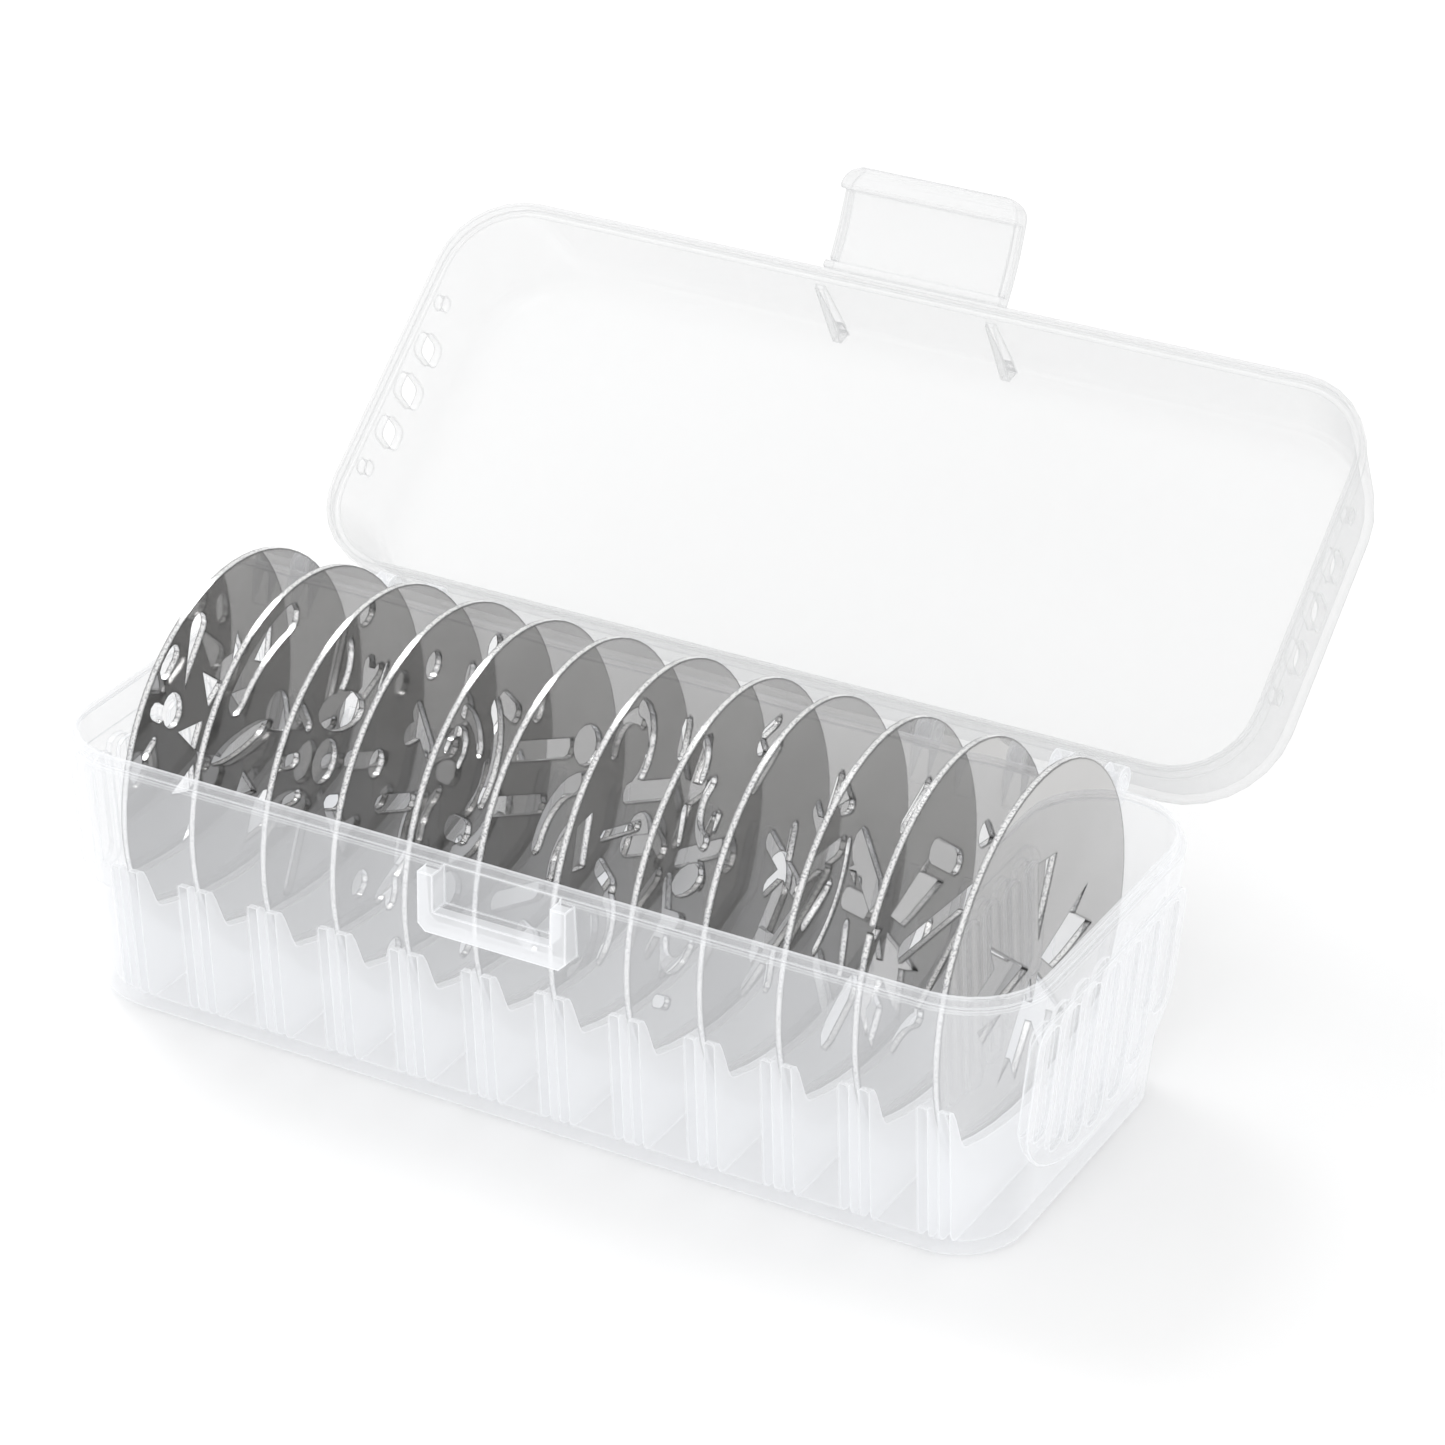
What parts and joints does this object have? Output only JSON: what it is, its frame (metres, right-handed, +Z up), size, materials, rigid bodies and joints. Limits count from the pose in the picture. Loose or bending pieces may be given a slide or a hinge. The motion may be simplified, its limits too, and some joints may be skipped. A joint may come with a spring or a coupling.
{
  "type": "cookie press disc case",
  "caption": "Hinged translucent storage case, standing open, with a row of slotted steel cookie press discs held upright in ribbed slots.",
  "frame": {"origin": "centre of the case's flat underside", "axes": "+X along the row of discs to the right, +Y towards the hinge at the back, +Z up"},
  "size_m": [0.1506, 0.1305, 0.0971],
  "materials": {
    "clear_plastic": "frosted translucent polypropylene with a satin surface",
    "disc_steel": "mirror-polished stainless steel sheet with fine brushing"
  },
  "bodies": {
    "case": {"case": "clear_plastic", "hinge_pin_left": "clear_plastic", "hinge_pin_right": "clear_plastic"},
    "lid": {"lid": "clear_plastic"},
    "latch": {"latch": "clear_plastic"},
    "disc_01": {"disc_01_sunburst": "disc_steel"},
    "disc_02": {"disc_02_ribbons": "disc_steel"},
    "disc_03": {"disc_03_flowers": "disc_steel"},
    "disc_04": {"disc_04_snowburst": "disc_steel"},
    "disc_05": {"disc_05_crescents": "disc_steel"},
    "disc_06": {"disc_06_sprig": "disc_steel"},
    "disc_07": {"disc_07_sleigh": "disc_steel"},
    "disc_08": {"disc_08_wreath": "disc_steel"},
    "disc_09": {"disc_09_star_flake": "disc_steel"},
    "disc_10": {"disc_10_foliage": "disc_steel"},
    "disc_11": {"disc_11_palm": "disc_steel"},
    "disc_12": {"disc_12_bolts": "disc_steel"}
  },
  "joints": [
    {"name": "lid_hinge", "type": "hinge", "parent": "case", "child": "lid", "pos_m": [0, 0.0345, 0.04095], "axis": [-1, 0, 0], "range_deg": [-140.55, 0]},
    {"name": "latch_fold", "type": "hinge", "parent": "lid", "child": "latch", "pos_m": [0, 0.08646, 0.08364], "axis": [-1, 0, 0], "range_deg": [-65.6, 20]},
    {"name": "lift_disc_01", "type": "slide", "parent": "case", "child": "disc_01", "axis": [0, 0, 1], "range_m": [0, 0.06]},
    {"name": "lift_disc_02", "type": "slide", "parent": "case", "child": "disc_02", "axis": [0, 0, 1], "range_m": [0, 0.06]},
    {"name": "lift_disc_03", "type": "slide", "parent": "case", "child": "disc_03", "axis": [0, 0, 1], "range_m": [0, 0.06]},
    {"name": "lift_disc_04", "type": "slide", "parent": "case", "child": "disc_04", "axis": [0, 0, 1], "range_m": [0, 0.06]},
    {"name": "lift_disc_05", "type": "slide", "parent": "case", "child": "disc_05", "axis": [0, 0, 1], "range_m": [0, 0.06]},
    {"name": "lift_disc_06", "type": "slide", "parent": "case", "child": "disc_06", "axis": [0, 0, 1], "range_m": [0, 0.06]},
    {"name": "lift_disc_07", "type": "slide", "parent": "case", "child": "disc_07", "axis": [0, 0, 1], "range_m": [0, 0.06]},
    {"name": "lift_disc_08", "type": "slide", "parent": "case", "child": "disc_08", "axis": [0, 0, 1], "range_m": [0, 0.06]},
    {"name": "lift_disc_09", "type": "slide", "parent": "case", "child": "disc_09", "axis": [0, 0, 1], "range_m": [0, 0.06]},
    {"name": "lift_disc_10", "type": "slide", "parent": "case", "child": "disc_10", "axis": [0, 0, 1], "range_m": [0, 0.06]},
    {"name": "lift_disc_11", "type": "slide", "parent": "case", "child": "disc_11", "axis": [0, 0, 1], "range_m": [0, 0.06]},
    {"name": "lift_disc_12", "type": "slide", "parent": "case", "child": "disc_12", "axis": [0, 0, 1], "range_m": [0, 0.06]}
  ]
}
